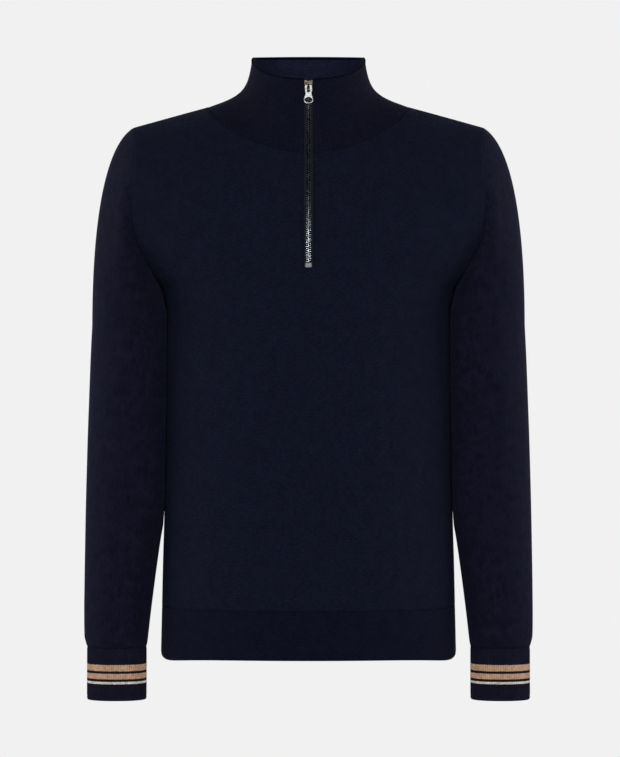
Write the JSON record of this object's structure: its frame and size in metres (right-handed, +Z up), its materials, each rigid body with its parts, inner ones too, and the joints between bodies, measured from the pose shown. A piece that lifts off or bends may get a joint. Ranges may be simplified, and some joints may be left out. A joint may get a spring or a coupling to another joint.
{
  "type": "quarter zip sweater",
  "caption": "Fine-knit pullover with a standing ribbed collar, a short front zip, long sleeves, striped ribbed cuffs and a hem band, filled out as worn.",
  "frame": {"origin": "middle of the neck base, at the height where the collar starts on the shoulder", "axes": "+Z up, -Y out of the front, +X to the wearer's left"},
  "size_m": [0.5368, 0.2359, 0.7748],
  "materials": {
    "navy_knit": "smooth fine-gauge wool knit, dark navy",
    "navy_rib": "one by one rib knit, dark navy",
    "navy_band": "smooth doubled knit band, dark navy",
    "cuff_rib": "one by one rib knit, dark navy, with two tan bands and a thin cream line",
    "zip_tape": "woven charcoal tape",
    "zip_teeth": "dark polished metal teeth",
    "slider_metal": "dark bronze-grey metal, satin",
    "tab_metal": "bright silver metal, polished with softened edges",
    "stop_metal": "light grey metal, satin"
  },
  "bodies": {
    "garment": {"front_panel": "navy_knit", "back_panel": "navy_knit", "sleeve_right": "navy_knit", "sleeve_left": "navy_knit", "cuff_right": "cuff_rib", "cuff_left": "cuff_rib", "hem_band": "navy_band", "collar": "navy_rib", "zip_tape_right": "zip_tape", "zip_tape_left": "zip_tape", "zip_chain": "zip_teeth", "zip_bottom_stop": "stop_metal", "zip_slider": "slider_metal"},
    "pull": {"zip_pull": "tab_metal"}
  },
  "joints": [
    {"name": "pull_tab_hinge", "type": "hinge", "parent": "garment", "child": "pull", "pos_m": [0, -0.07591, 0.01754], "axis": [-1, 0, 0], "range_deg": [0, 160]}
  ]
}
